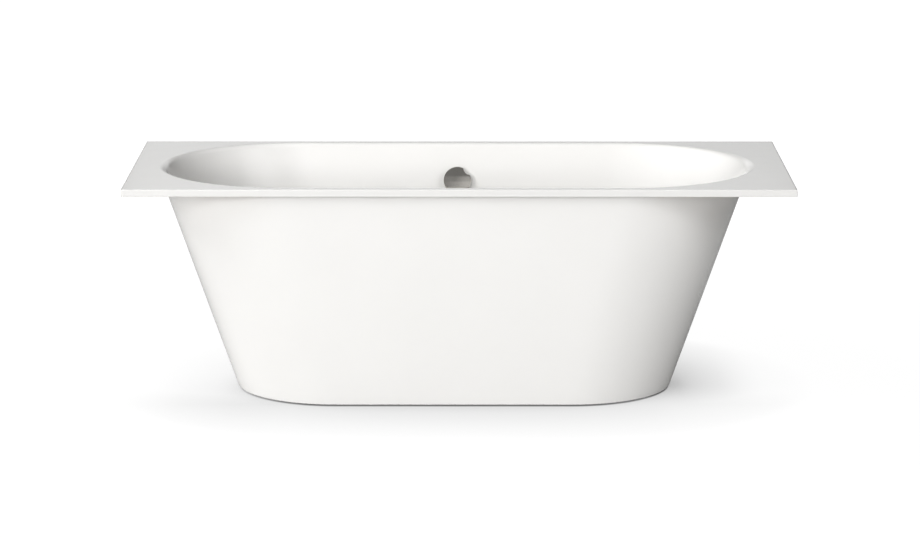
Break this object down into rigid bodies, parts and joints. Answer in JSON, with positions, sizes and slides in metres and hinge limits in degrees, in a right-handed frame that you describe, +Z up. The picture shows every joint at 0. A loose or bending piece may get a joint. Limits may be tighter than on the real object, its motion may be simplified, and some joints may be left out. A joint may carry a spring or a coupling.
{
  "type": "built-in bathtub",
  "caption": "Built-in bathtub with a flat rectangular flange, an oblong basin, a tapered oblong skirt, levelling feet and a turning overflow knob that lifts the drain plug.",
  "frame": {"origin": "on the floor, under the middle of the rectangular flange", "axes": "+X along the tub to the right as seen from the front, +Y away from the viewer towards the wall, +Z up"},
  "size_m": [1.7, 0.75, 0.5865],
  "materials": {
    "acrylic_white": "gloss",
    "bond_adhesive": "matte",
    "chipboard": "matte",
    "zinc_steel": "satin",
    "foot_plastic": "matte",
    "chrome": "polished",
    "seal_rubber": "matte",
    "pipe_plastic": "satin",
    "nut_plastic": "satin",
    "brass": "satin"
  },
  "bodies": {
    "tub": {"base_board": "chipboard", "bath_shell": "acrylic_white", "bracket_bolts": "zinc_steel", "cross_rail_left": "zinc_steel", "cross_rail_right": "zinc_steel", "foot_lock_nuts": "zinc_steel", "foot_weld_nuts": "zinc_steel", "lever_pin": "zinc_steel", "outer_skirt": "acrylic_white", "overflow_body": "pipe_plastic", "overflow_gasket": "seal_rubber", "overflow_riser": "pipe_plastic", "overflow_rosette": "pipe_plastic", "overflow_run": "pipe_plastic", "overflow_tee": "pipe_plastic", "pipe_seals": "seal_rubber", "pivot_saddle": "pipe_plastic", "rail_screws": "zinc_steel", "rim_board_front_left": "chipboard", "rim_board_front_right": "chipboard", "rim_board_rear_left": "chipboard", "rim_board_rear_right": "chipboard", "rosette_screws": "zinc_steel", "rosette_seal": "seal_rubber", "skirt_bond_bead": "bond_adhesive", "skirt_brackets": "zinc_steel", "trap_bend": "pipe_plastic", "trap_inlet_nut": "nut_plastic", "trap_outlet_nut": "nut_plastic", "trap_outlet_pipe": "pipe_plastic", "trap_seals": "seal_rubber", "waste_body": "pipe_plastic", "waste_body_gasket": "seal_rubber", "waste_flange": "chrome", "waste_flange_seal": "seal_rubber"},
    "knob": {"overflow_knob": "chrome", "knob_spindle": "brass", "knob_grub_screw": "zinc_steel"},
    "plug": {"plug_cap": "chrome", "plug_seal": "seal_rubber", "plug_stem": "brass", "stem_lock_nut": "zinc_steel"},
    "lever": {"lift_lever": "brass"},
    "rod": {"pull_rod": "brass"},
    "pad_front_left": {"foot_pad_front_left": "foot_plastic"},
    "screw_front_left": {"foot_spindle_front_left": "zinc_steel"},
    "pad_front_right": {"foot_pad_front_right": "foot_plastic"},
    "screw_front_right": {"foot_spindle_front_right": "zinc_steel"},
    "pad_rear_left": {"foot_pad_rear_left": "foot_plastic"},
    "screw_rear_left": {"foot_spindle_rear_left": "zinc_steel"},
    "pad_rear_right": {"foot_pad_rear_right": "foot_plastic"},
    "screw_rear_right": {"foot_spindle_rear_right": "zinc_steel"}
  },
  "joints": [
    {"name": "knob_turn", "type": "hinge", "parent": "tub", "child": "knob", "pos_m": [-0.006, 0.31743, 0.4875], "axis": [0, -0.9757, 0.2191], "range_deg": [0, 90.01]},
    {"name": "plug_lift", "type": "slide", "parent": "tub", "child": "plug", "axis": [0, 0, 1], "range_m": [0, 0.01304]},
    {"name": "lever_swing", "type": "hinge", "parent": "tub", "child": "lever", "pos_m": [-0.006, 0.17, 0.118], "axis": [-1, 0, 0], "range_deg": [0, 4.41]},
    {"name": "rod_push", "type": "slide", "parent": "tub", "child": "rod", "axis": [0, 0, -1], "range_m": [0, 0.01305]},
    {"name": "pad_travel_front_left", "type": "slide", "parent": "tub", "child": "pad_front_left", "axis": [0, 0, -1], "range_m": [-0.003, 0.02]},
    {"name": "screw_turn_front_left", "type": "hinge", "parent": "pad_front_left", "child": "screw_front_left", "pos_m": [-0.306, -0.19, 0.02], "axis": [0, 0, -1], "range_deg": [-618, 4116]},
    {"name": "pad_travel_front_right", "type": "slide", "parent": "tub", "child": "pad_front_right", "axis": [0, 0, -1], "range_m": [-0.003, 0.02]},
    {"name": "screw_turn_front_right", "type": "hinge", "parent": "pad_front_right", "child": "screw_front_right", "pos_m": [0.294, -0.19, 0.02], "axis": [0, 0, -1], "range_deg": [-618, 4116]},
    {"name": "pad_travel_rear_left", "type": "slide", "parent": "tub", "child": "pad_rear_left", "axis": [0, 0, -1], "range_m": [-0.003, 0.02]},
    {"name": "screw_turn_rear_left", "type": "hinge", "parent": "pad_rear_left", "child": "screw_rear_left", "pos_m": [-0.306, 0.19, 0.02], "axis": [0, 0, -1], "range_deg": [-618, 4116]},
    {"name": "pad_travel_rear_right", "type": "slide", "parent": "tub", "child": "pad_rear_right", "axis": [0, 0, -1], "range_m": [-0.003, 0.02]},
    {"name": "screw_turn_rear_right", "type": "hinge", "parent": "pad_rear_right", "child": "screw_rear_right", "pos_m": [0.294, 0.19, 0.02], "axis": [0, 0, -1], "range_deg": [-618, 4116]}
  ],
  "couplings": [
    {"joint": "knob_turn", "follows": "plug_lift", "rad_per_m": 120.41},
    {"joint": "lever_swing", "follows": "plug_lift", "rad_per_m": 5.8838},
    {"joint": "rod_push", "follows": "plug_lift", "ratio": 1},
    {"joint": "screw_turn_front_left", "follows": "pad_travel_front_left", "rad_per_m": 3590.4},
    {"joint": "screw_turn_front_right", "follows": "pad_travel_front_right", "rad_per_m": 3590.4},
    {"joint": "screw_turn_rear_left", "follows": "pad_travel_rear_left", "rad_per_m": 3590.4},
    {"joint": "screw_turn_rear_right", "follows": "pad_travel_rear_right", "rad_per_m": 3590.4}
  ]
}
